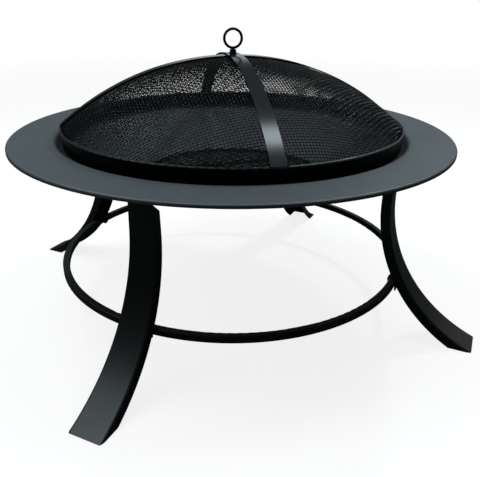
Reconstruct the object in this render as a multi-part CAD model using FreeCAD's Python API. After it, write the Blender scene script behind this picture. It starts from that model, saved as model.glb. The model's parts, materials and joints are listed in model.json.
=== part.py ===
import FreeCAD, Part
import math
import os

# A fire pit: a pressed steel bowl with a wide rim, four swept channel legs tied
# together by a brace ring, a lift-off spark screen and a loose fire grate.
# Millimetres, +Z up. The origin lies on the floor under the centre of the bowl,
# and the four legs stand on the diagonals between the X and Y axes.

# Bowl
rim_radius = 381.0             # outside of the rim
rim_height = 325.0             # top of the rim above the floor
rim_dish = 2.0                 # the rim is this much lower at its inner edge
rim_lip_drop = 5.5             # turned-down outer edge of the rim
rim_edge_round = 3.0
bowl_sheet = 1.5
bowl_depth = 108.0             # from the ledge down to the inside of the bottom
ledge_drop = 8.0               # from the inner edge of the rim down to the ledge
ledge_width = 9.0              # flat ledge that carries the spark screen
ledge_nose_round = 4.0
recess_flare = 8.0             # how far the wall of the recess leans outward
recess_foot_round = 2.5
recess_mouth_round = 10.0

# Spark screen
band_radius = 294.5            # outside of the upright band
band_height = 28.0
band_sheet = 1.2
hem_bead_radius = 1.8
band_side_clearance = 2.5      # between the band and the foot of the recess wall
dome_rise = 107.0              # mesh dome above the top of the band
mesh_thickness = 1.0
mesh_tuck = 8.0                # how far the mesh runs down inside the band
strap_width = 23.0
strap_thickness = 2.0
screen_turn = -7.5             # degrees that the straps are turned from the axes

# Handle of the spark screen
eye_outside = 34.5
eye_wire = 4.5
handle_thread = 6.0
handle_nut_flats = 10.0
handle_nut_height = 5.0
handle_washer_outside = 14.0
handle_washer_thickness = 1.2
backing_washer_outside = 20.0
handle_thread_spare = 3.0      # thread showing past the inner nut

# Legs
foot_radius = 460.0            # outer face of a leg where it meets the floor
leg_straight = 75.0            # from the ledge down to the start of the sweep
leg_top_drop = 5.0             # from the ledge down to the top of a leg
leg_top_width = 42.0
leg_foot_width = 58.0
leg_depth = 16.0
leg_sheet = 2.0
leg_bend_round = 4.0
flange_trim_drop = 44.5        # from the ledge down to where the flanges start to slope off
flange_trim_rise = 14.5        # height of that sloping end, from a flange's edge to the web
leg_azimuths = {
    "front_left": -135.0,
    "front_right": -45.0,
    "rear_right": 45.0,
    "rear_left": 135.0,
}

# Bent plates that carry the bowl on the legs
plate_thickness = 3.0
plate_reach = 18.0             # from the bolt to the inner end of a plate
plate_bolt_inset = 19.0        # from the flange edges in to the bolt
plate_shelf_drop = 2.0         # from the top of a leg down to the flat part of a plate
plate_tab = 24.0               # length that is turned down along the web
plate_bend_round = 5.0

# Brace ring
ring_height = 93.0             # centre of the ring above the floor
ring_size = 12.0               # square tube
ring_wall = 1.5
ring_corner_round = 2.0
bracket_thickness = 3.0
bracket_fall = 8.0             # bottom of a bracket below the centre of the ring

# Fasteners of the frame
frame_thread = 8.0
frame_nut_flats = 13.0
frame_nut_height = 6.5
frame_washer_outside = 16.0
frame_washer_thickness = 1.6
dome_head_radius = 9.0
dome_head_height = 4.0
thread_spare = 2.5             # thread showing past a nut

# Fire grate
grate_hoop_radius = 165.0      # centre of the hoop's wire
grate_wire = 6.0
grate_mesh_thickness = 2.0
grate_bar_offset = 60.0        # each cross bar from the centre
diamond_long_pitch = 32.0
diamond_short_pitch = 14.0
diamond_strand = 2.6

# Clearances
seat_gap = 0.3                 # between parts that lift apart
touch_gap = 0.2                # between parts that are fixed together
hole_clearance = 0.3           # on the radius, around a bolt
thread_clearance = 0.05        # on the radius, inside a nut
match_gap = 0.01               # how close a point lies to a surface that it is on

# Chamfered corners of the nuts
chamfer_start = 0.97           # share of the flats' half width where a chamfer starts
chamfer_slope = 0.6            # drop of a chamfer for each millimetre outward

# Sizes that follow from the ones above
ledge_height = rim_height - rim_dish - ledge_drop
recess_radius = band_radius + band_side_clearance
bowl_mouth_radius = recess_radius - ledge_width
bowl_sphere = (bowl_mouth_radius ** 2 + bowl_depth ** 2) / (2 * bowl_depth)
bowl_centre = ledge_height - bowl_depth + bowl_sphere

band_bottom = ledge_height + seat_gap
band_top = band_bottom + band_height
mesh_radius = band_radius - band_sheet - touch_gap
dome_sphere = (mesh_radius ** 2 + dome_rise ** 2) / (2 * dome_rise)
dome_top = band_top + dome_rise
strap_sag = (strap_width / 2) ** 2 / (2 * dome_sphere)    # bend of the upper strap across the lower one
upper_strap_gap = touch_gap + strap_thickness + touch_gap + strap_sag
upper_strap_top = dome_top + upper_strap_gap + strap_thickness

leg_face = recess_radius
sweep_height = ledge_height - leg_straight
leg_reach = foot_radius - leg_face
sweep_radius = (leg_reach ** 2 + sweep_height ** 2) / (2 * leg_reach)
leg_top = ledge_height - leg_top_drop

plate_bolt_radius = leg_face - leg_depth - plate_bolt_inset

ALONG_Z = FreeCAD.Vector(0, 0, 1)
ORIGIN = FreeCAD.Vector(0, 0, 0)


def at(r, z):
    return FreeCAD.Vector(r, 0, z)


def line(start, end):
    return Part.makeLine(start, end)


def arc(start, through, end):
    return Part.Arc(start, through, end).toShape()


def arc_about(centre, radius, start, end):
    """Short arc of a known circle from start to end, drawn in the XZ plane."""
    middle = (start + end) * 0.5 - centre
    middle.normalize()
    return arc(start, centre + middle * radius, end)


def filled(edges):
    return Part.Face(Part.Wire(edges))


def revolved(face):
    return face.revolve(ORIGIN, ALONG_Z, 360)


def turned(shape, azimuth):
    copy = shape.copy()
    copy.rotate(ORIGIN, ALONG_Z, azimuth)
    return copy


def aimed(shape, point, direction):
    """Move a shape built along +Z so that it starts at point and runs along direction."""
    copy = shape.copy()
    copy.Placement = FreeCAD.Placement(point, FreeCAD.Rotation(ALONG_Z, direction))
    return copy


def rod(radius, length):
    return Part.makeCylinder(radius, length)


def rounded_run(points, rounds):
    """Edges of an open run through the points, with each inner corner rounded."""
    edges = []
    start = points[0]
    for before, corner, after, radius in zip(points, points[1:], points[2:], rounds):
        back = before - corner
        back.normalize()
        ahead = after - corner
        ahead.normalize()
        half_angle = back.getAngle(ahead) / 2
        inward = back + ahead
        inward.normalize()
        centre = corner + inward * (radius / math.sin(half_angle))
        first = corner + back * (radius / math.tan(half_angle))
        last = corner + ahead * (radius / math.tan(half_angle))
        edges.append(line(start, first))
        edges.append(arc(first, centre - inward * radius, last))
        start = last
    edges.append(line(start, points[-1]))
    return edges


# Fasteners, each built along +Z from its bearing face ---------------------

def hex_blank(flats, height):
    """Hexagon with its corners chamfered at both ends."""
    corner = flats / math.sqrt(3)
    points = [FreeCAD.Vector(corner * math.cos(k * math.pi / 3), corner * math.sin(k * math.pi / 3), 0)
              for k in range(7)]
    prism = Part.Face(Part.makePolygon(points)).extrude(FreeCAD.Vector(0, 0, height))
    face_edge = flats / 2 * chamfer_start
    drop = (corner - face_edge) * chamfer_slope
    outline = [at(0, 0), at(face_edge, 0), at(corner, drop), at(corner, height - drop),
               at(face_edge, height), at(0, height), at(0, 0)]
    return prism.common(revolved(Part.Face(Part.makePolygon(outline))))


def nut(thread, flats, height):
    return hex_blank(flats, height).cut(rod(thread / 2 + thread_clearance, height))


def washer(thread, outside, thickness):
    return rod(outside / 2, thickness).cut(rod(thread / 2 + hole_clearance, thickness))


def dome_bolt(thread, head_radius, head_height, length):
    """Bolt with a plain domed head."""
    dome_radius = (head_radius ** 2 + head_height ** 2) / (2 * head_height)
    centre = at(0, dome_radius - head_height)
    crown = at(0, -head_height)
    edge = at(head_radius, 0)
    outline = [arc_about(centre, dome_radius, crown, edge), line(edge, at(thread / 2, 0)),
               line(at(thread / 2, 0), at(thread / 2, length)),
               line(at(thread / 2, length), at(0, length)), line(at(0, length), crown)]
    return revolved(filled(outline))


# Bowl ---------------------------------------------------------------------

def bowl_normal(radius):
    """Outward normal of the bowl's underside at a radius, in the XZ plane."""
    tilt = math.asin(radius / (bowl_sphere + bowl_sheet))
    return FreeCAD.Vector(math.sin(tilt), 0, -math.cos(tilt))


def bowl_bolt_start():
    """Point on the inside of the bowl where a bolt's head bears."""
    return at(0, bowl_centre) + bowl_normal(plate_bolt_radius) * (bowl_sphere - touch_gap)


def bowl():
    centre = at(0, bowl_centre)
    nose_height = ledge_height - ledge_nose_round
    nose_radius = math.sqrt((bowl_sphere + ledge_nose_round) ** 2 - (bowl_centre - nose_height) ** 2)
    nose = at(nose_radius, nose_height)
    bottom = at(0, bowl_centre - bowl_sphere)
    toward_nose = nose - centre
    toward_nose.normalize()
    wall_end = centre + toward_nose * bowl_sphere
    ledge_start = at(nose_radius, ledge_height)
    edges = [arc_about(centre, bowl_sphere, bottom, wall_end),
             arc_about(nose, ledge_nose_round, wall_end, ledge_start)]
    edges += rounded_run(
        [ledge_start, at(recess_radius, ledge_height),
         at(recess_radius + recess_flare, ledge_height + ledge_drop),
         at(rim_radius, rim_height), at(rim_radius, rim_height - rim_lip_drop)],
        [recess_foot_round, recess_mouth_round, rim_edge_round])
    sheet = Part.Wire(edges).makeOffset2D(-bowl_sheet, fill=True, openResult=True)
    shell = revolved(sheet)
    drill = rod(frame_thread / 2 + hole_clearance, 4 * bowl_sheet)
    start = bowl_bolt_start() - bowl_normal(plate_bolt_radius) * bowl_sheet
    for azimuth in leg_azimuths.values():
        shell = shell.cut(turned(aimed(drill, start, bowl_normal(plate_bolt_radius)), azimuth))
    return shell


# Legs ---------------------------------------------------------------------

def leg_surface(inset, z):
    """Radius of a surface that lies inset behind the outer face of a leg, at height z."""
    if z >= sweep_height:
        return leg_face - inset
    return leg_face + sweep_radius - math.sqrt((sweep_radius + inset) ** 2 - (sweep_height - z) ** 2)


def leg_half_width(z):
    return (leg_foot_width + (leg_top_width - leg_foot_width) * z / leg_top) / 2


def swept_block(outer_inset, inner_inset, side_inset):
    """Solid between two depths behind the outer face, narrowing from foot to top."""
    centre = at(leg_face + sweep_radius, sweep_height)
    edges = []
    ends = []
    for inset in (outer_inset, inner_inset):
        top = at(leg_face - inset, leg_top)
        start = at(leg_face - inset, sweep_height)
        foot = at(leg_surface(inset, 0), 0)
        edges += [line(top, start), arc_about(centre, sweep_radius + inset, start, foot)]
        ends.append((top, foot))
    edges.append(line(ends[0][0], ends[1][0]))
    edges.append(line(ends[0][1], ends[1][1]))
    face = Part.Face(Part.Wire(Part.sortEdges(edges)[0]))
    block = face.extrude(FreeCAD.Vector(0, leg_foot_width, 0))
    block.translate(FreeCAD.Vector(0, -leg_foot_width / 2, 0))
    return block.common(taper(side_inset))


def taper(side_inset):
    """Wedge that gives a leg its width at each height."""
    foot_half = leg_half_width(0) - side_inset
    top_half = leg_half_width(leg_top) - side_inset
    corners = [FreeCAD.Vector(0, -foot_half, 0), FreeCAD.Vector(0, foot_half, 0),
               FreeCAD.Vector(0, top_half, leg_top), FreeCAD.Vector(0, -top_half, leg_top),
               FreeCAD.Vector(0, -foot_half, 0)]
    return Part.Face(Part.makePolygon(corners)).extrude(FreeCAD.Vector(2 * foot_radius, 0, 0))


def bent_edges(block, inset, side_inset):
    """Long edges where the web of a channel turns into its flanges."""
    found = []
    for edge in block.Edges:
        ends = [vertex.Point for vertex in edge.Vertexes]
        on_web = all(abs(p.x - leg_surface(inset, p.z)) < match_gap for p in ends)
        on_side = all(abs(abs(p.y) - leg_half_width(p.z) + side_inset) < match_gap for p in ends)
        if on_web and on_side and abs(ends[0].z - ends[-1].z) > match_gap:
            found.append(edge)
    return found


def trimmed_off():
    """Space that the flanges are cut back from at the top of a leg, behind the web."""
    slope = flange_trim_rise / leg_depth
    behind = at(leg_face - 2 * leg_depth, ledge_height - flange_trim_drop - slope * leg_depth)
    at_web = at(leg_face - leg_sheet, ledge_height - flange_trim_drop + slope * (leg_depth - leg_sheet))
    outline = Part.makePolygon([behind, at_web, at(at_web.x, rim_height), at(behind.x, rim_height), behind])
    block = Part.Face(outline).extrude(FreeCAD.Vector(0, 2 * leg_foot_width, 0))
    block.translate(FreeCAD.Vector(0, -leg_foot_width, 0))
    return block


def leg():
    outside = swept_block(0, leg_depth, 0)
    outside = outside.makeFillet(leg_bend_round, bent_edges(outside, 0, 0))
    inside = swept_block(leg_sheet, 2 * leg_depth, leg_sheet)
    inside = inside.makeFillet(leg_bend_round - leg_sheet, bent_edges(inside, leg_sheet, leg_sheet))
    return outside.cut(inside).cut(trimmed_off())


def mount_plate():
    """Bent plate from a leg's web to the underside of the bowl, which one bolt holds to it."""
    out = bowl_normal(plate_bolt_radius)
    uphill = at(-out.z, out.x)
    touch = at(0, bowl_centre) + out * (bowl_sphere + bowl_sheet + touch_gap)
    shelf = leg_top - plate_shelf_drop
    web = leg_face - leg_sheet - touch_gap
    bend = touch + uphill * ((shelf - touch.z) / uphill.z)
    run = rounded_run([touch - uphill * plate_reach, bend, at(web, shelf), at(web, shelf - plate_tab)],
                      [plate_bend_round] * 2)
    sheet = Part.Wire(run).makeOffset2D(-plate_thickness, fill=True, openResult=True)
    width = 2 * (leg_half_width(leg_top) - leg_sheet - touch_gap)
    plate = sheet.extrude(FreeCAD.Vector(0, width, 0))
    plate.translate(FreeCAD.Vector(0, -width / 2, 0))
    drill = rod(frame_thread / 2 + hole_clearance, 2 * plate_thickness)
    return plate.cut(aimed(drill, touch - out, out))


# Brace ring ---------------------------------------------------------------

ring_outside = leg_surface(leg_depth, ring_height + ring_size / 2) - touch_gap
ring_inside = ring_outside - ring_size
bracket_start = ring_outside + touch_gap
bracket_back = bracket_start + bracket_thickness + leg_bend_round
bracket_top = sweep_height - math.sqrt((sweep_radius + leg_sheet) ** 2
                                       - (leg_face + sweep_radius - bracket_back) ** 2)


def square_hoop(size, corner_round):
    middle = ring_outside - ring_size / 2
    half = size / 2
    corners = [at(middle - half, ring_height), at(middle - half, ring_height + half),
               at(middle + half, ring_height + half), at(middle + half, ring_height - half),
               at(middle - half, ring_height - half), at(middle - half, ring_height)]
    return revolved(filled(rounded_run(corners, [corner_round] * 4)))


def brace_ring():
    tube = square_hoop(ring_size, ring_corner_round)
    hollow = square_hoop(ring_size - 2 * ring_wall, ring_corner_round - ring_wall)
    tube = tube.cut(hollow)
    drill = rod(frame_thread / 2 + hole_clearance, 2 * ring_size)
    start = at(ring_inside - ring_size / 2, ring_height)
    for azimuth in leg_azimuths.values():
        tube = tube.cut(turned(aimed(drill, start, at(1, 0)), azimuth))
    return tube


def ring_bracket():
    """Plate across the inside of a leg that the brace ring is bolted to."""
    low = ring_height - bracket_fall
    room = taper(leg_sheet + touch_gap)
    plate = Part.makeBox(bracket_thickness, leg_foot_width, bracket_top - low,
                         FreeCAD.Vector(bracket_start, -leg_foot_width / 2, low))
    drill = rod(frame_thread / 2 + hole_clearance, 2 * bracket_thickness)
    return plate.common(room).cut(aimed(drill, at(bracket_start - 1, ring_height), at(1, 0)))


def frame_fasteners():
    """Bolts, washers and nuts of the frame, one of each for every leg."""
    out = bowl_normal(plate_bolt_radius)
    head = bowl_bolt_start()
    through_bowl = touch_gap + bowl_sheet + touch_gap + plate_thickness
    bowl_length = through_bowl + 2 * touch_gap + frame_washer_thickness + frame_nut_height + thread_spare
    washer_place = head + out * (through_bowl + touch_gap)
    nut_place = washer_place + out * (frame_washer_thickness + touch_gap)
    bowl_bolt = dome_bolt(frame_thread, dome_head_radius, dome_head_height, bowl_length)
    plain_washer = washer(frame_thread, frame_washer_outside, frame_washer_thickness)
    plain_nut = nut(frame_thread, frame_nut_flats, frame_nut_height)

    ring_head = at(ring_inside - touch_gap, ring_height)
    ring_washer_place = at(bracket_start + bracket_thickness + touch_gap, ring_height)
    ring_nut_place = ring_washer_place + at(frame_washer_thickness + touch_gap, 0)
    ring_length = ring_nut_place.x - ring_head.x + frame_nut_height + thread_spare
    ring_bolt = dome_bolt(frame_thread, dome_head_radius, dome_head_height, ring_length)
    across = at(1, 0)
    single = {
        "bowl_bolts": aimed(bowl_bolt, head, out),
        "bowl_washers": aimed(plain_washer, washer_place, out),
        "bowl_nuts": aimed(plain_nut, nut_place, out),
        "ring_bolts": aimed(ring_bolt, ring_head, across),
        "ring_washers": aimed(plain_washer, ring_washer_place, across),
        "ring_nuts": aimed(plain_nut, ring_nut_place, across),
    }
    return {name: Part.makeCompound([turned(piece, azimuth) for azimuth in leg_azimuths.values()])
            for name, piece in single.items()}


# Spark screen -------------------------------------------------------------

def screen_mesh():
    """Dome of wire mesh as a thin closed shell, with its edge tucked into the band."""
    centre = at(0, dome_top - dome_sphere)
    inner_sphere = dome_sphere - mesh_thickness
    inner_radius = mesh_radius - mesh_thickness
    inner_edge = at(inner_radius, centre.z + math.sqrt(inner_sphere ** 2 - inner_radius ** 2))
    outer_edge = at(mesh_radius, band_top)
    tuck_bottom = band_top - mesh_tuck
    crown = at(0, dome_top)
    under_crown = at(0, dome_top - mesh_thickness)
    outline = [arc_about(centre, dome_sphere, crown, outer_edge),
               line(outer_edge, at(mesh_radius, tuck_bottom)),
               line(at(mesh_radius, tuck_bottom), at(inner_radius, tuck_bottom)),
               line(at(inner_radius, tuck_bottom), inner_edge),
               arc_about(centre, inner_sphere, inner_edge, under_crown),
               line(under_crown, crown)]
    return revolved(filled(outline)).cut(handle_drill())


def screen_band():
    """Upright band with a beaded top edge that the mesh is clamped in."""
    inside = band_radius - band_sheet
    wall = [at(inside, band_bottom), at(band_radius, band_bottom), at(band_radius, band_top),
            at(inside, band_top), at(inside, band_bottom)]
    band = revolved(Part.Face(Part.makePolygon(wall)))
    bead = Part.makeTorus(band_radius, hem_bead_radius, at(0, band_top - hem_bead_radius))
    clear = Part.makeCylinder(inside, 2 * band_height, at(0, band_bottom))
    return band.fuse(bead.cut(clear)).removeSplitter()


def handle_drill():
    start = at(0, dome_top - backing_washer_outside)
    return Part.makeCylinder(handle_thread / 2 + hole_clearance, 2 * backing_washer_outside, start)


def strap(crown_gap):
    """Flat strap bent over the dome from hem to hem, crown_gap above the mesh at the top."""
    foot = mesh_radius + touch_gap
    rise = dome_rise + crown_gap
    under = (foot ** 2 + rise ** 2) / (2 * rise)
    centre = at(0, band_top + rise - under)
    cut_height = band_top + touch_gap
    outline = []
    tips = []
    for radius in (under, under + strap_thickness):
        reach = math.sqrt(radius ** 2 - (cut_height - centre.z) ** 2)
        left = at(-reach, cut_height)
        right = at(reach, cut_height)
        outline.append(arc(left, at(0, centre.z + radius), right))
        tips.append((left, right))
    outline.append(line(tips[0][0], tips[1][0]))
    outline.append(line(tips[0][1], tips[1][1]))
    face = Part.Face(Part.Wire(Part.sortEdges(outline)[0]))
    flat = face.extrude(FreeCAD.Vector(0, strap_width, 0))
    flat.translate(FreeCAD.Vector(0, -strap_width / 2, 0))
    return flat.cut(handle_drill())


def handle_parts():
    """Eye bolt through the crown of the screen, with its nuts and washers."""
    nut_start = upper_strap_top + 2 * touch_gap + handle_washer_thickness
    wire_radius = eye_wire / 2
    eye_radius = eye_outside / 2 - wire_radius
    eye_height = nut_start + handle_nut_height + touch_gap + eye_outside / 2
    backing = dome_top - mesh_thickness - touch_gap - handle_washer_thickness
    inner_nut = backing - touch_gap - handle_nut_height
    shank_low = inner_nut - handle_thread_spare
    eye = Part.makeTorus(eye_radius, wire_radius)
    eye.rotate(ORIGIN, FreeCAD.Vector(1, 0, 0), 90)
    eye.translate(at(0, eye_height))
    shank = Part.makeCylinder(handle_thread / 2, eye_height - eye_radius - shank_low, at(0, shank_low))
    clamp_nut = nut(handle_thread, handle_nut_flats, handle_nut_height)
    top_washer = washer(handle_thread, handle_washer_outside, handle_washer_thickness)
    backing_washer = washer(handle_thread, backing_washer_outside, handle_washer_thickness)
    return {
        "handle_eye_bolt": eye.fuse(shank),
        "handle_washer": aimed(top_washer, at(0, upper_strap_top + touch_gap), ALONG_Z),
        "handle_nut": aimed(clamp_nut, at(0, nut_start), ALONG_Z),
        "handle_backing_washer": aimed(backing_washer, at(0, backing), ALONG_Z),
        "handle_inner_nut": aimed(clamp_nut, at(0, inner_nut), ALONG_Z),
    }


# Fire grate ---------------------------------------------------------------

hoop_wire_radius = grate_wire / 2
hoop_seat = bowl_sphere - hoop_wire_radius - seat_gap
hoop_height = bowl_centre - math.sqrt(hoop_seat ** 2 - grate_hoop_radius ** 2)


def grate_hoop():
    return Part.makeTorus(grate_hoop_radius, hoop_wire_radius, at(0, hoop_height))


def grate_cross_bars():
    """Two round bars under the mesh, cut to meet the hoop."""
    trimmer = Part.makeTorus(grate_hoop_radius, hoop_wire_radius + touch_gap, at(0, hoop_height))
    half_length = math.sqrt(grate_hoop_radius ** 2 - grate_bar_offset ** 2)
    bars = []
    for side in (-1, 1):
        start = FreeCAD.Vector(-half_length, side * grate_bar_offset, hoop_height)
        bar = Part.makeCylinder(hoop_wire_radius, 2 * half_length, start, FreeCAD.Vector(1, 0, 0))
        pieces = bar.cut(trimmer).Solids
        bars.append(max(pieces, key=lambda piece: piece.Volume))
    return Part.makeCompound(bars)


def grate_mesh():
    """Round sheet of expanded metal: staggered diamonds kept wholly inside the edge."""
    half_long = diamond_long_pitch / 2
    half_short = diamond_short_pitch / 2
    strand_share = diamond_strand / 2 * math.hypot(half_long, half_short) / (half_long * half_short)
    open_long = half_long * (1 - strand_share)
    open_short = half_short * (1 - strand_share)
    limit = grate_hoop_radius - hoop_wire_radius
    floor = hoop_height + hoop_wire_radius + touch_gap
    outline = [Part.Wire(Part.makeCircle(grate_hoop_radius, at(0, floor)))]
    rows = int(grate_hoop_radius / half_short) + 1
    columns = int(grate_hoop_radius / diamond_long_pitch) + 1
    for row in range(-rows, rows + 1):
        for column in range(-columns, columns + 1):
            x = column * diamond_long_pitch + (row % 2) * half_long
            y = row * half_short
            corners = [FreeCAD.Vector(x + open_long, y, floor), FreeCAD.Vector(x, y + open_short, floor),
                       FreeCAD.Vector(x - open_long, y, floor), FreeCAD.Vector(x, y - open_short, floor)]
            if all(math.hypot(p.x, p.y) < limit for p in corners):
                outline.append(Part.makePolygon(corners + corners[:1]))
    return Part.Face(outline).extrude(FreeCAD.Vector(0, 0, grate_mesh_thickness))


# Assembly -----------------------------------------------------------------

def build():
    parts = {"bowl": bowl(), "brace_ring": brace_ring()}
    for place, azimuth in leg_azimuths.items():
        parts["leg_" + place] = turned(leg(), azimuth)
        parts["mount_plate_" + place] = turned(mount_plate(), azimuth)
        parts["ring_bracket_" + place] = turned(ring_bracket(), azimuth)
    parts.update(frame_fasteners())
    screen = {
        "screen_mesh": screen_mesh(),
        "screen_band": screen_band(),
        "strap_lower": strap(touch_gap),
        "strap_upper": turned(strap(upper_strap_gap), 90),
    }
    screen.update(handle_parts())
    for name, shape in screen.items():
        parts[name] = turned(shape, screen_turn)
    parts["grate_hoop"] = grate_hoop()
    parts["grate_cross_bars"] = grate_cross_bars()
    parts["grate_mesh"] = grate_mesh()
    return parts


os.makedirs("parts", exist_ok=True)
for name, shape in build().items():
    shape.exportStep("parts/" + name + ".step")
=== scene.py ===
import json
import math
import random

import bpy
import numpy as np
from mathutils import Matrix, Vector


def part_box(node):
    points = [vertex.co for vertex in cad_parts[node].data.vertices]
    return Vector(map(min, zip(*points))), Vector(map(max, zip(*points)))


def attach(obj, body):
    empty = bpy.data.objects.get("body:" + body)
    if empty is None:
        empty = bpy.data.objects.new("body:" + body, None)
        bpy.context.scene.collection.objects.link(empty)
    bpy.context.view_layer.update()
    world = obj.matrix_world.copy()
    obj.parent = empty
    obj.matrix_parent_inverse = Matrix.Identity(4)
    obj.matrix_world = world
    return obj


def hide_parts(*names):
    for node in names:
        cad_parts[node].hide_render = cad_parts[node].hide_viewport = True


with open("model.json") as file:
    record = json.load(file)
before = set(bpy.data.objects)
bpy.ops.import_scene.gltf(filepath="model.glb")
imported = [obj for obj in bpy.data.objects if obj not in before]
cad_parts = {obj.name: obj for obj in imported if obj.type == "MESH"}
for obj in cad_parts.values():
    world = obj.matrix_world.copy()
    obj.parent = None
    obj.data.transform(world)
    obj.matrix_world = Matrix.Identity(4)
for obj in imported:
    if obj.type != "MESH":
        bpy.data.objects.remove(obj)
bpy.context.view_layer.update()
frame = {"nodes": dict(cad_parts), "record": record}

# A fire pit in metres, +Z up: pressed bowl with a wide rim, swept channel legs, a brace
# ring, a lift-off spark screen of woven wire and a loose grate of expanded metal.

MM = 0.001

# Spark screen
WIRE_RADIUS = 0.65 * MM
WIRE_SIDES = 5
WEAVE_PITCH = 5.2 * MM
WIRES_PER_PIECE = 24
BOLT_ROOM = 3.5 * MM               # the wires stop this far from the axis of the eye bolt
CLAMPED_RADIUS = 11 * MM           # the weave is pressed flat out to here, under the washer
MESH_SHEET = 1.0 * MM              # thickness of the pressed weave
SCREEN_TURN = math.radians(-7.5)   # how far the straps are turned from the axes
WEAVE_TURN = math.radians(-3.5)    # how far the wires are turned from the axes
STRAP_WIDTH = 23 * MM
# The hem roll is lighter paint over the band's bead: a painted highlight along the top of the band.
HEM_RADIUS = 1.8 * MM
HEM_PROUD = 0.03 * MM              # the lighter roll of painted highlight stands this far proud of the bead it covers
HEM_STEPS = 240
HEM_SIDES = 12

# Grate
DIAMOND_LONG = 36 * MM
DIAMOND_SHORT = 17 * MM
STRAND_WIDTH = 2.6 * MM
STRAND_THICKNESS = 1.6 * MM
STRAND_TILT = math.radians(-28)
STRAND_MARGIN = 1.5 * MM           # the strands end this far inside the rim of the sheet
STRAND_STEP = DIAMOND_LONG / 12
SHORTEST_HALF_STRAND = DIAMOND_LONG / 4
BOND_FLATNESS = 1.5                # above 1, neighbouring strands run side by side at their bonds

# Weld beads
BEAD_SIDES = 8
BEAD_RIPPLE = 0.10                 # share of the bead's radius
BEAD_SCATTER = 0.08                # share of the bead's radius
BEAD_END_POWER = 6                 # the higher, the blunter the ends of a bead
BEAD_END_SHARE = 0.06              # least square of the width left at an end
STRAP_BEAD_RADIUS = 1.3 * MM
STRAP_BEAD_REACH = 2.2 * MM        # half the length of a bead at the corner of a strap
STRAP_BEAD_STEPS = 7
STRAP_BEAD_INSET = 1.6 * MM        # in from the outside of the band
STRAP_BEAD_RISE = 0.3 * MM         # above the top of the band
LEG_BEAD_STEPS = 14
BRACKET_BEAD_RADIUS = 1.4 * MM
BRACKET_BEAD_INSET = 4 * MM
PLATE_BEAD_RADIUS = 1.2 * MM
PLATE_BEAD_LENGTH = 16 * MM
PLATE_BEAD_DROP = 22 * MM          # from the top of the plate's tab to the foot of the bead

LEG_AZIMUTHS = {
    "front_left": -135,
    "front_right": -45,
    "rear_right": 45,
    "rear_left": 135,
}

# Finishes
TONE_SWING = 0.14                  # how much the colour of a coat drifts to either side
BARE_STEEL = (0.16, 0.17, 0.18, 1)
DUST_COLOUR = (0.20, 0.20, 0.19, 1)
# Painted shade: the seat of the spark screen in the bowl's recess is darkened towards this colour.
SEAT_SHADE_COLOUR = (0.004, 0.004, 0.004, 1)
MATT_BY_DUST_AND_SHADE = 0.5                 # how much dust and the painted seat shade add to the roughness

# Camera
VIEW_HEADING = math.radians(69.65)   # direction the camera looks along, turned from +X
VIEW_PITCH = math.radians(24.48)
VIEW_ROLL = math.radians(0.62)
VIEW_PLACE = (-0.3211, -0.9099, 0.5482)
SENSOR_WIDTH = 36.0
LENS = 40.44

# Floor
FLOOR_HALF = 6.0
FLOOR_DROP = 0.2 * MM
FLOOR_FADE = (1.6, 4.5)              # it fades out between these distances
FLOOR_SEEN = (0.33, 0.30, 0.29, 1)     # colour for the camera
FLOOR_CAST = (0.08, 0.085, 0.085, 1)   # colour for the light it sends back to the steel
FLOOR_EMISSION = 0.85

# Patches of the backdrop that the steel reflects: turn and elevation in degrees, cosines of the
# angles where the patch starts and where it is full, brightness
SKY_PATCHES = (
    (0, 32, 0.1, 0.95, 0.06),        # wide, at the rear
    (1, 12, 0.965, 0.997, 0.7),      # low window at the rear
    (0, 85, 0.60, 1.0, 0.14),        # overhead
)
SKY_BASE = 0.02
GROUND_GLOW = 0.008
SKY_TINT = (0.88, 0.96, 1.0, 1)
WHITE = (1, 1, 1, 1)
BLACK = (0, 0, 0, 1)

# Lamps: name, turn and elevation in degrees, distance, size, brightness and colour
LAMP_TARGET = (0, 0, 0.33)
COOL = (0.80, 0.94, 1.0)
WARM = (1.0, 0.86, 0.70)
LAMPS = (
    ("key", 84, 73.5, 1.9, (0.34, 0.90), 8.5, COOL),
    ("overhead left", -100, 68, 2.2, (1.0, 1.0), 4.4, COOL),
    ("rear right", 40, 44, 2.2, (0.22, 0.22), 72.0, COOL),
    ("rear left", -45, 46, 2.2, (0.18, 0.18), 40.0, COOL),
    ("front left", -105, 42, 2.3, (1.2, 0.9), 2.0, COOL),
    ("warm side", 58, 12, 2.4, (0.8, 0.6), 0.45, WARM),
)

rng = random.Random(7)


# Mesh helpers ---------------------------------------------------------------

def mesh_piece(name, points, faces, smooth=True):
    """Object made from points and faces, linked to the scene."""
    mesh = bpy.data.meshes.new(name)
    mesh.from_pydata([tuple(p) for p in points], [], faces)
    mesh.validate()
    mesh.update()
    if smooth:
        mesh.polygons.foreach_set("use_smooth", [True] * len(mesh.polygons))
    piece = bpy.data.objects.new(name, mesh)
    bpy.context.scene.collection.objects.link(piece)
    return piece


def tube(path, sides_across, ups, outline, closed=False):
    """Points and faces of a tube: the outline is set square to the path at each point.

    Its ends are capped, unless the path closes on itself.
    """
    count = len(path)
    around = len(outline)
    points = (path[:, None, :]
              + sides_across[:, None, :] * outline[None, :, 0, None]
              + ups[:, None, :] * outline[None, :, 1, None]).reshape(-1, 3)
    faces = []
    for i in range(count if closed else count - 1):
        here = i * around
        onward = (i + 1) % count * around
        for k in range(around):
            beside = (k + 1) % around
            faces.append((here + k, here + beside, onward + beside, onward + k))
    if not closed:
        faces.append(tuple(range(around - 1, -1, -1)))
        faces.append(tuple((count - 1) * around + k for k in range(around)))
    return points, faces


def circle(radius, sides):
    angles = np.arange(sides) * 2 * math.pi / sides
    return np.stack([radius * np.cos(angles), radius * np.sin(angles)], 1)


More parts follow.
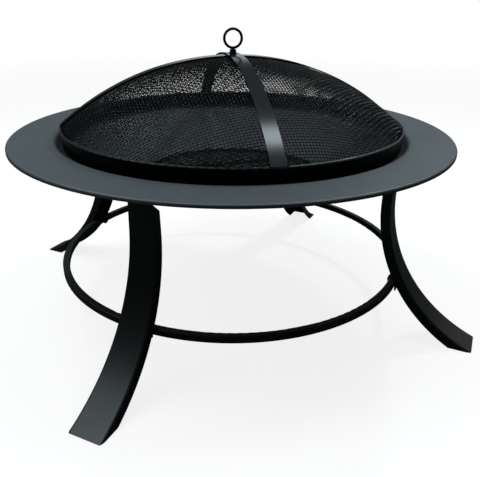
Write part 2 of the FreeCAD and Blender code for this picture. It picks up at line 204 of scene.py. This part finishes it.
def joined(parts):
    """One list of points and faces from several."""
    points = []
    faces = []
    for part_points, part_faces in parts:
        start = sum(len(p) for p in points)
        points.append(part_points)
        faces += [tuple(v + start for v in face) for face in part_faces]
    return np.concatenate(points), faces


def directions(path):
    """Unit direction of a path at each of its points."""
    along = np.gradient(path, axis=0)
    return along / np.linalg.norm(along, axis=1)[:, None]


def dress(piece, finish, slot, body, coat=None):
    """Give a piece the finish of its slot, or a named one of its own, and fix it to a body."""
    piece.data.materials.append(finish[coat or slot])
    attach(piece, body)


# Shader helpers -------------------------------------------------------------

def new_group(name, inputs, outputs):
    """Empty node group with named inputs (with their defaults) and outputs."""
    group = bpy.data.node_groups.new(name, "ShaderNodeTree")
    for label, value in inputs.items():
        socket = group.interface.new_socket(label, in_out="INPUT", socket_type="NodeSocketFloat")
        socket.default_value = value
    for label, kind in outputs.items():
        group.interface.new_socket(label, in_out="OUTPUT", socket_type=kind)
    return group, group.nodes.new("NodeGroupInput"), group.nodes.new("NodeGroupOutput")


def add(tree, kind, links=None, **settings):
    """New node in a tree, with its settings made and its sockets fed or set."""
    node = tree.nodes.new(kind)
    for label, value in settings.items():
        setattr(node, label, value)
    for label, value in (links or {}).items():
        socket = node.inputs[label]
        if isinstance(value, bpy.types.NodeSocket):
            tree.links.new(value, socket)
        else:
            socket.default_value = value
    return node


def maths(tree, operation, first, second=0.0, clamp=False):
    node = add(tree, "ShaderNodeMath", {0: first, 1: second}, operation=operation, use_clamp=clamp)
    return node.outputs[0]


def mixed(tree, share, first, second):
    """Colour between two colours, each a socket or a plain colour."""
    node = add(tree, "ShaderNodeMix", data_type="RGBA")
    tree.links.new(share, node.inputs[0])
    for socket, colour in ((node.inputs[6], first), (node.inputs[7], second)):
        if isinstance(colour, bpy.types.NodeSocket):
            tree.links.new(colour, socket)
        else:
            socket.default_value = colour
    return node.outputs[2]


def ramp(tree, value, start, end, low=0.0, high=1.0, **settings):
    """Value mapped so that start becomes low and end becomes high."""
    return add(tree, "ShaderNodeMapRange", {"Value": value, "From Min": start, "From Max": end,
                                            "To Min": low, "To Max": high}, **settings).outputs[0]


def length(tree, vector):
    return add(tree, "ShaderNodeVectorMath", {0: vector}, operation="LENGTH").outputs["Value"]


def patches(tree, size, detail, roughness):
    """Noise whose patches have a size given in millimetres."""
    return noise(tree, maths(tree, "DIVIDE", 1 / MM, size), detail, roughness)


def noise(tree, scale, detail, roughness):
    place = add(tree, "ShaderNodeTexCoord").outputs["Object"]
    node = add(tree, "ShaderNodeTexNoise",
               {"Vector": place, "Scale": scale, "Detail": detail, "Roughness": roughness})
    return node.outputs["Fac"]


def powder_grain_group():
    """Fine orange peel of a baked powder coat, and the slow drift of its gloss."""
    group, given, out = new_group(
        "powder grain", {"Grain Size": 1.4, "Drift Size": 60.0, "Drift": 0.05, "Roughness": 0.4},
        {"Height": "NodeSocketFloat", "Roughness": "NodeSocketFloat", "Tone": "NodeSocketFloat"})
    fine = patches(group, given.outputs["Grain Size"], 2.0, 0.55)
    slow = patches(group, given.outputs["Drift Size"], 4.0, 0.6)
    centred = maths(group, "SUBTRACT", slow, 0.5)
    swing = maths(group, "MULTIPLY", centred, maths(group, "MULTIPLY", given.outputs["Drift"], 2.0))
    speck = maths(group, "MULTIPLY", maths(group, "SUBTRACT", fine, 0.5), 0.08)
    group.links.new(fine, out.inputs["Height"])
    group.links.new(maths(group, "ADD", maths(group, "ADD", given.outputs["Roughness"], swing), speck),
                    out.inputs["Roughness"])
    group.links.new(slow, out.inputs["Tone"])
    return group


def edge_wear_group():
    """Mask of the edges, broken up by a patchy noise."""
    group, given, out = new_group(
        "edge wear", {"Radius": 0.8 * MM, "Patch Size": 9.0, "Amount": 0.5}, {"Mask": "NodeSocketFloat"})
    rounded = add(group, "ShaderNodeBevel", {"Radius": given.outputs["Radius"]}, samples=4)
    plain = add(group, "ShaderNodeNewGeometry").outputs["Normal"]
    same = add(group, "ShaderNodeVectorMath", {0: rounded.outputs["Normal"], 1: plain},
               operation="DOT_PRODUCT").outputs["Value"]
    edge = maths(group, "MULTIPLY", maths(group, "SUBTRACT", 1.0, same), 6.0, clamp=True)
    patch = patches(group, given.outputs["Patch Size"], 5.0, 0.65)
    broken = ramp(group, patch, 0.42, 0.62)
    worn = maths(group, "MULTIPLY", maths(group, "MULTIPLY", edge, broken), given.outputs["Amount"])
    group.links.new(worn, out.inputs["Mask"])
    return group


def settled_dust_group():
    """Mask of thin dust on faces that look up."""
    group, given, out = new_group(
        "settled dust", {"Patch Size": 35.0, "Amount": 0.3}, {"Mask": "NodeSocketFloat"})
    facing = add(group, "ShaderNodeSeparateXYZ",
                 {0: add(group, "ShaderNodeNewGeometry").outputs["Normal"]}).outputs["Z"]
    upward = ramp(group, facing, 0.35, 1.0)
    patch = patches(group, given.outputs["Patch Size"], 6.0, 0.7)
    dust = maths(group, "MULTIPLY", maths(group, "MULTIPLY", upward, patch), given.outputs["Amount"])
    group.links.new(dust, out.inputs["Mask"])
    return group


def seat_shade_group():
    """Mask of painted shade on the seat of the spark screen in the bowl's recess, between two radii
    given in millimetres.
    """
    group, given, out = new_group(
        "seat painted shade", {"Inner": 286.0, "Outer": 310.0, "Blend": 7.0, "Amount": 0.0},
        {"Mask": "NodeSocketFloat"})
    place = add(group, "ShaderNodeTexCoord").outputs["Object"]
    level = add(group, "ShaderNodeVectorMath", {0: place, 1: (1 / MM, 1 / MM, 0)}, operation="MULTIPLY")
    radius = length(group, level.outputs[0])
    start = maths(group, "SUBTRACT", given.outputs["Inner"], given.outputs["Blend"])
    end = maths(group, "SUBTRACT", given.outputs["Outer"], given.outputs["Blend"])
    risen = ramp(group, radius, start, given.outputs["Inner"])
    fallen = ramp(group, radius, end, given.outputs["Outer"], 1.0, 0.0)
    ring = maths(group, "MULTIPLY", risen, fallen)
    group.links.new(maths(group, "MULTIPLY", ring, given.outputs["Amount"]), out.inputs["Mask"])
    return group


POWDER_GRAIN = powder_grain_group()
EDGE_WEAR = edge_wear_group()
SETTLED_DUST = settled_dust_group()
SEAT_SHADE = seat_shade_group()


def placed(tree, group, **values):
    """Outputs of a shared group, placed in a tree with its own values for some inputs."""
    node = add(tree, "ShaderNodeGroup", node_tree=group)
    for label, value in values.items():
        node.inputs[label.replace("_", " ")].default_value = value
    return node.outputs


def coated(name, colour, roughness, grain=1.4, bump=0.012, wear=0.25, dust=0.25,
           metallic=0.0, specular=0.5, seat_shade=0.0):
    """Painted or powder-coated steel; grain and bump are in millimetres."""
    material = bpy.data.materials.new(name)
    material.use_nodes = True
    tree = material.node_tree
    tree.nodes.clear()
    texture = placed(tree, POWDER_GRAIN, Grain_Size=grain, Roughness=roughness)
    worn = placed(tree, EDGE_WEAR, Amount=wear)["Mask"]
    dusty = placed(tree, SETTLED_DUST, Amount=dust)["Mask"]
    seat_shaded = placed(tree, SEAT_SHADE, Amount=seat_shade)["Mask"]
    dark = tuple(c * (1 - TONE_SWING) for c in colour) + (1,)
    light = tuple(c * (1 + TONE_SWING) for c in colour) + (1,)
    paint = mixed(tree, texture["Tone"], dark, light)
    paint = mixed(tree, worn, paint, BARE_STEEL)
    paint = mixed(tree, dusty, paint, DUST_COLOUR)
    # Painted shade: the seat mask darkens the paint in the bowl's recess under the screen's band.
    paint = mixed(tree, seat_shaded, paint, SEAT_SHADE_COLOUR)
    matt = maths(tree, "MULTIPLY", maths(tree, "ADD", dusty, seat_shaded), MATT_BY_DUST_AND_SHADE)
    rough = maths(tree, "ADD", texture["Roughness"], matt, clamp=True)
    relief = add(tree, "ShaderNodeBump", {"Height": texture["Height"], "Strength": 1.0,
                                          "Distance": bump * MM})
    shader = add(tree, "ShaderNodeBsdfPrincipled", {"Base Color": paint, "Roughness": rough,
                                                    "Normal": relief.outputs[0]})
    shader.inputs["Metallic"].default_value = metallic
    shader.inputs["Specular IOR Level"].default_value = specular
    output = add(tree, "ShaderNodeOutputMaterial")
    tree.links.new(shader.outputs[0], output.inputs["Surface"])
    return material


def finishes():
    """Every finish by the name of its slot, or of the one node or piece that has it."""
    return {
        # The bowl's coat darkens the screen's seat in its recess with painted shade.
        "bowl_coat": coated("bowl powder coat", (0.090, 0.101, 0.106), 0.40, dust=0.06, seat_shade=1.0),
        "leg_coat": coated("leg powder coat", (0.014, 0.016, 0.015), 0.36, dust=0.06, specular=0.6),
        "bracket_coat": coated("bracket powder coat", (0.012, 0.013, 0.014), 0.45),
        "ring_coat": coated("ring powder coat", (0.006, 0.007, 0.007), 0.38, dust=0.06),
        "band_coat": coated("band enamel", (0.0008, 0.0008, 0.0009), 0.30, wear=0.04, dust=0.0,
                            bump=0.004, specular=0.05),
        "strap_coat": coated("strap satin coat", (0.006, 0.007, 0.008), 0.17, dust=0.03),
        # Painted highlight: the hem roll's light paint stands for the light line along the top of the
        # black band.
        "hem_highlight_coat": coated("hem painted highlight paint", (0.085, 0.093, 0.098), 0.30, wear=0.0, dust=0.1),
        "mesh_wire": coated("mesh wire paint", (0.003, 0.003, 0.004), 0.34, grain=0.6, wear=0.0,
                            dust=0.0, specular=0.2),
        "fastener_black": coated("fastener black oxide", (0.010, 0.010, 0.011), 0.38, metallic=0.4),
        "bowl_bolts": coated("painted bolt heads", (0.070, 0.080, 0.086), 0.50, wear=0.1, dust=0.06),
        "handle_steel": coated("handle black enamel", (0.005, 0.005, 0.006), 0.25, bump=0.004),
        "grate_steel": coated("grate heat paint", (0.004, 0.004, 0.005), 0.50, grain=2.0, bump=0.05,
                              dust=0.06, specular=0.3),
    }


# Spark screen ---------------------------------------------------------------

def dome_shape():
    """Centre height and radius of the sphere that the mesh follows, and the radius of its hem."""
    mesh_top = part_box("screen_mesh")[1]
    hem = mesh_top.x
    rise = mesh_top.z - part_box("screen_band")[1].z
    sphere = (hem ** 2 + rise ** 2) / (2 * rise)
    return mesh_top.z - sphere, sphere, hem


def wire_path(offset, family, centre_height, sphere, edge_angle):
    """Centre line of one wire that runs over and under the wires that cross it.

    Also gives its outward normals and its distance from the axis, at the same points.
    """
    reach = math.sqrt((sphere * edge_angle) ** 2 - offset ** 2)
    half_steps = int(reach / (WEAVE_PITCH / 2))
    along = np.arange(-half_steps, half_steps + 1) * WEAVE_PITCH / 2
    along = np.concatenate([[-reach], along, [reach]])
    across = np.full_like(along, offset)
    flat = np.stack([along, across] if family == 0 else [across, along], 1)
    c, s = math.cos(WEAVE_TURN), math.sin(WEAVE_TURN)
    flat = flat @ np.array([[c, s], [-s, c]])
    distance = np.linalg.norm(flat, axis=1)
    angle = distance / sphere
    share = np.where(distance > 1e-9, np.sin(angle) / np.maximum(distance, 1e-9), 1 / sphere)
    outward = np.stack([flat[:, 0] * share, flat[:, 1] * share, np.cos(angle)], 1)
    side = 1 if (round(offset / WEAVE_PITCH) + family) % 2 else -1
    free = np.clip((distance - CLAMPED_RADIUS) / CLAMPED_RADIUS, 0, 1)
    depth = MESH_SHEET / 2 + free * (2 * WIRE_RADIUS - MESH_SHEET / 2)
    lift = free * side * WIRE_RADIUS * np.cos(math.pi * along / WEAVE_PITCH)
    path = outward * (sphere - depth + lift)[:, None] + np.array([0, 0, centre_height])
    return path, outward, distance


def woven_wire(*shape):
    """Tubes of one wire: two where it would meet the eye bolt, otherwise one."""
    path, outward, distance = wire_path(*shape)
    clear = distance > BOLT_ROOM
    middle = len(path) // 2
    runs = [slice(0, None)]
    if not clear.all():
        runs = [slice(0, int(np.argmin(clear))), slice(middle + int(np.argmax(clear[middle:])), None)]
    tubes = []
    for run in runs:
        ahead = directions(path[run])
        sideways = np.cross(outward[run], ahead)
        sideways /= np.linalg.norm(sideways, axis=1)[:, None]
        ups = np.cross(ahead, sideways)
        tubes.append(tube(path[run], sideways, ups, circle(WIRE_RADIUS, WIRE_SIDES)))
    return tubes


def woven_dome(finish):
    """The wire dome as pieces of a few wires each."""
    centre_height, sphere, hem = dome_shape()
    edge_angle = math.asin((hem - 2 * WIRE_RADIUS) / sphere)
    count = int(sphere * edge_angle / WEAVE_PITCH)
    pieces = []
    for family in (0, 1):
        rows = list(range(-count, count + 1))
        for start in range(0, len(rows), WIRES_PER_PIECE):
            wires = []
            for row in rows[start:start + WIRES_PER_PIECE]:
                wires += woven_wire(row * WEAVE_PITCH, family, centre_height, sphere, edge_angle)
            points, faces = joined(wires)
            name = "screen_wires_%s_%d" % ("across" if family else "along", start // WIRES_PER_PIECE)
            pieces.append(mesh_piece(name, points, faces))
    for piece in pieces:
        dress(piece, finish, "mesh_wire", "screen")
        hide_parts("screen_mesh")


# Welds ----------------------------------------------------------------------

def weld_bead(path, radius, steps=LEG_BEAD_STEPS):
    """Rippled bead along a straight or bent line, with rounded ends."""
    path = np.array(path, float)
    along = np.concatenate([[0], np.cumsum(np.linalg.norm(np.diff(path, axis=0), axis=1))])
    spots = np.linspace(0, along[-1], steps)
    line = np.stack([np.interp(spots, along, path[:, k]) for k in range(3)], 1)
    ahead = directions(line)
    helper = np.array([0, 0, 1.0]) if abs(ahead[0][2]) < 0.7 else np.array([1.0, 0, 0])
    sideways = np.cross(helper, ahead)
    sideways /= np.linalg.norm(sideways, axis=1)[:, None]
    ups = np.cross(ahead, sideways)
    rounding = 1 - np.abs(np.linspace(-1, 1, steps)) ** BEAD_END_POWER
    ends = np.sqrt(np.clip(rounding, BEAD_END_SHARE, 1))
    ripple = np.array([1 + BEAD_RIPPLE * (-1) ** k + rng.uniform(-BEAD_SCATTER, BEAD_SCATTER)
                       for k in range(steps)])
    size = (ends * ripple)[:, None]
    return tube(line, sideways * size, ups * size, circle(radius, BEAD_SIDES))


def turned(points, azimuth):
    """Points turned about the axis of the fire pit."""
    c, s = math.cos(azimuth), math.sin(azimuth)
    return np.array(points) @ np.array([[c, s, 0], [-s, c, 0], [0, 0, 1]])


def strap_welds(finish):
    """Small welds at the corners of each strap's end, on top of the band."""
    band_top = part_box("screen_band")[1]
    radius = band_top.x - STRAP_BEAD_INSET
    height = band_top.z + STRAP_BEAD_RISE
    beads = []
    for quarter in range(4):
        for side in (-1, 1):
            edge = side * STRAP_WIDTH / 2
            line = [(radius, edge - STRAP_BEAD_REACH, height), (radius, edge + STRAP_BEAD_REACH, height)]
            line = turned(line, SCREEN_TURN + quarter * math.pi / 2)
            beads.append(weld_bead(line, STRAP_BEAD_RADIUS, STRAP_BEAD_STEPS))
    piece = mesh_piece("strap_end_welds", *joined(beads))
    dress(piece, finish, "strap_coat", "screen")


def hem_highlight_roll(finish):
    """Satin roll of lighter paint along the top of the band, just proud of the bead it covers: a painted
    highlight line on the hem.
    """
    band_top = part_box("screen_band")[1]
    radius = band_top.x - HEM_RADIUS
    height = band_top.z - HEM_RADIUS
    angles = np.linspace(0, 2 * math.pi, HEM_STEPS, endpoint=False)
    outward = np.stack([np.cos(angles), np.sin(angles), np.zeros_like(angles)], 1)
    path = outward * radius + np.array([0, 0, height])
    ups = np.tile(np.array([0, 0, 1.0]), (len(angles), 1))
    points, faces = tube(path, outward, ups, circle(HEM_RADIUS + HEM_PROUD, HEM_SIDES), closed=True)
    dress(mesh_piece("screen_hem_highlight_roll", points, faces), finish, "band_coat", "screen", "hem_highlight_coat")


def frame_points(node):
    """Points of a CAD node, in the frame of the fire pit."""
    shape = frame["nodes"][node]
    return [shape.matrix_world @ vertex.co for vertex in shape.data.vertices]


def spread(node, azimuth):
    """How far a node reaches along and across the direction of its leg."""
    local = turned([tuple(corner) for corner in frame_points(node)], -azimuth)
    return local.min(0), local.max(0)


def bracket_beads(place, azimuth):
    """Beads up both edges of the ring bracket and of the mount plate's tab in one leg."""
    bracket = spread("ring_bracket_" + place, azimuth)
    plate = spread("mount_plate_" + place, azimuth)
    beads = []
    for side in (0, 1):
        out, edge = bracket[1][0], bracket[side][1]
        line = [(out, edge, bracket[0][2] + BRACKET_BEAD_INSET),
                (out, edge, bracket[1][2] - BRACKET_BEAD_INSET)]
        beads.append(weld_bead(turned(line, azimuth), BRACKET_BEAD_RADIUS))
        out, edge = plate[1][0] - PLATE_BEAD_RADIUS / 2, plate[side][1]
        foot = plate[1][2] - PLATE_BEAD_DROP
        line = [(out, edge, foot), (out, edge, foot + PLATE_BEAD_LENGTH)]
        beads.append(weld_bead(turned(line, azimuth), PLATE_BEAD_RADIUS))
    return beads


def leg_welds(finish):
    """Beads that hold the bracket and the mount plate inside each leg."""
    beads = []
    for place, azimuth in LEG_AZIMUTHS.items():
        beads += bracket_beads(place, math.radians(azimuth))
    piece = mesh_piece("leg_welds", *joined(beads))
    dress(piece, finish, "bracket_coat", "stand")


# Grate ----------------------------------------------------------------------

def expanded_metal(finish):
    """Wavy ribbons that meet at their bonds, each cut off just inside the hoop."""
    low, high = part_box("grate_mesh")
    radius = high.x - STRAND_MARGIN
    floor = low.z
    half_short = DIAMOND_SHORT / 2
    rows = int(radius / half_short)
    corners = np.array([(-1, -1), (1, -1), (1, 1), (-1, 1)])
    outline = corners * np.array([STRAND_WIDTH, STRAND_THICKNESS]) / 2
    ribbons = []
    for row in range(-rows, rows):
        middle = (row + 0.5) * half_short
        reach = math.sqrt(max(radius ** 2 - (abs(middle) + half_short / 2) ** 2, 0))
        if reach < SHORTEST_HALF_STRAND:
            continue
        steps = max(8, int(2 * reach / STRAND_STEP))
        x = np.linspace(-reach, reach, steps)
        phase = x / DIAMOND_LONG + (0.5 if row % 2 else 0.0)
        wave = np.abs(((phase % 1.0) - 0.5) * 4) - 1
        wave = np.clip(wave * BOND_FLATNESS, -1, 1)
        swing = (half_short - STRAND_WIDTH) / 2
        lift = 0.5 * STRAND_THICKNESS * wave
        path = np.stack([x, middle + swing * wave, floor + STRAND_THICKNESS + lift], 1)
        ahead = directions(path)
        sideways = np.cross(np.array([0, 0, 1.0]), ahead)
        sideways /= np.linalg.norm(sideways, axis=1)[:, None]
        ups = np.cross(ahead, sideways)
        leaned = sideways * math.cos(STRAND_TILT) + ups * math.sin(STRAND_TILT)
        ribbons.append(tube(path, leaned, np.cross(ahead, leaned), outline))
    points, faces = joined(ribbons)
    piece = mesh_piece("grate_expanded_metal", points, faces, smooth=False)
    dress(piece, finish, "grate_steel", "grate")
    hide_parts("grate_mesh")


# Finishes of the CAD nodes --------------------------------------------------

def dress_nodes(finish):
    slots = {entry["node"]: entry["material_slot"] for entry in frame["record"]["subparts"]}
    for name, node in frame["nodes"].items():
        node.data.materials.clear()
        node.data.materials.append(finish.get(name, finish[slots[name]]))


# Studio ---------------------------------------------------------------------

def view_direction(turn, elevation):
    """Direction from the fire pit: turn is measured clockwise from the far side, both in degrees."""
    heading = VIEW_HEADING - math.radians(turn)
    up = math.radians(elevation)
    return Vector((math.cos(heading) * math.cos(up), math.sin(heading) * math.cos(up), math.sin(up)))


def camera_share(tree):
    """1 where the camera looks straight at a surface, 0 for the light that steel picks up from it."""
    return add(tree, "ShaderNodeLightPath").outputs["Is Camera Ray"]


def studio_floor():
    """Pale floor that fades into the backdrop; its light on the fire pit is held down."""
    points = [(x * FLOOR_HALF, y * FLOOR_HALF, 0) for x, y in ((-1, -1), (1, -1), (1, 1), (-1, 1))]
    floor = mesh_piece("studio_floor", points, [(0, 1, 2, 3)], smooth=False)
    material = bpy.data.materials.new("studio floor")
    material.use_nodes = True
    tree = material.node_tree
    shader = tree.nodes["Principled BSDF"]
    seen = camera_share(tree)
    tree.links.new(mixed(tree, seen, FLOOR_CAST, FLOOR_SEEN), shader.inputs["Base Color"])
    tree.links.new(mixed(tree, seen, BLACK, WHITE), shader.inputs["Emission Color"])
    shader.inputs["Emission Strength"].default_value = FLOOR_EMISSION
    shader.inputs["Roughness"].default_value = 1.0
    shader.inputs["Specular IOR Level"].default_value = 0.0
    place = add(tree, "ShaderNodeTexCoord").outputs["Object"]
    tree.links.new(ramp(tree, length(tree, place), *FLOOR_FADE, 1.0, 0.0), shader.inputs["Alpha"])
    floor.data.materials.append(material)
    floor.location.z = -FLOOR_DROP


def sky_patch(tree, direction, turn, elevation, start, full):
    """Soft patch of sky around a direction, from 0 at its edge to 1 at its middle."""
    middle = view_direction(turn, elevation)
    facing = add(tree, "ShaderNodeVectorMath", {0: direction, 1: tuple(middle)}, operation="DOT_PRODUCT")
    return ramp(tree, facing.outputs["Value"], start, full, interpolation_type="SMOOTHSTEP")


def studio_world():
    """Dark low front, brighter behind and above; the camera itself sees a white backdrop."""
    world = bpy.data.worlds.new("studio")
    bpy.context.scene.world = world
    world.use_nodes = True
    tree = world.node_tree
    tree.nodes.clear()
    direction = add(tree, "ShaderNodeTexCoord").outputs["Generated"]
    height = add(tree, "ShaderNodeSeparateXYZ", {0: direction}).outputs["Z"]
    above = ramp(tree, height, -0.02, 0.04)
    sky = SKY_BASE
    for *patch, brightness in SKY_PATCHES:
        glow = maths(tree, "MULTIPLY", sky_patch(tree, direction, *patch), brightness)
        sky = maths(tree, "ADD", glow, sky)
    total = maths(tree, "ADD", maths(tree, "MULTIPLY", sky, above), GROUND_GLOW)
    seen = camera_share(tree)
    strength = add(tree, "ShaderNodeMix", {0: seen, 2: total, 3: 1.0}, data_type="FLOAT").outputs[0]
    shade = add(tree, "ShaderNodeBackground", {"Color": mixed(tree, seen, SKY_TINT, WHITE),
                                               "Strength": strength})
    output = add(tree, "ShaderNodeOutputWorld")
    tree.links.new(shade.outputs[0], output.inputs["Surface"])


def studio_lamp(name, turn, elevation, distance, size, brightness, colour):
    """Soft box turned to the spark screen; the brightness is that of its face, whatever its size."""
    target = Vector(LAMP_TARGET)
    light = bpy.data.lights.new(name, "AREA")
    light.shape = "RECTANGLE"
    light.size, light.size_y = size
    light.energy = brightness * math.pi * size[0] * size[1]
    light.color = colour
    lamp = bpy.data.objects.new(name, light)
    bpy.context.scene.collection.objects.link(lamp)
    lamp.location = target + view_direction(turn, elevation) * distance
    lamp.rotation_euler = (target - lamp.location).to_track_quat("-Z", "Y").to_euler()


def studio_camera():
    """Camera that looks down at the fire pit from its front left."""
    forward = Vector((math.cos(VIEW_HEADING) * math.cos(VIEW_PITCH),
                      math.sin(VIEW_HEADING) * math.cos(VIEW_PITCH), -math.sin(VIEW_PITCH)))
    right = forward.cross(Vector((0, 0, 1))).normalized()
    upward = right.cross(forward)
    rolled_right = right * math.cos(VIEW_ROLL) + upward * math.sin(VIEW_ROLL)
    rolled_up = upward * math.cos(VIEW_ROLL) - right * math.sin(VIEW_ROLL)
    camera = bpy.data.objects.new("camera", bpy.data.cameras.new("camera"))
    bpy.context.scene.collection.objects.link(camera)
    camera.matrix_world = Matrix((rolled_right, rolled_up, -forward)).transposed().to_4x4()
    camera.location = VIEW_PLACE
    camera.data.sensor_width = SENSOR_WIDTH
    camera.data.lens = LENS
    camera.data.clip_start = 0.02
    bpy.context.scene.camera = camera


finish = finishes()
dress_nodes(finish)
woven_dome(finish)
strap_welds(finish)
hem_highlight_roll(finish)
leg_welds(finish)
expanded_metal(finish)
studio_floor()
studio_world()
for lamp in LAMPS:
    studio_lamp(*lamp)
studio_camera()
bpy.context.scene.view_settings.view_transform = "Standard"

bpy.context.view_layer.update()
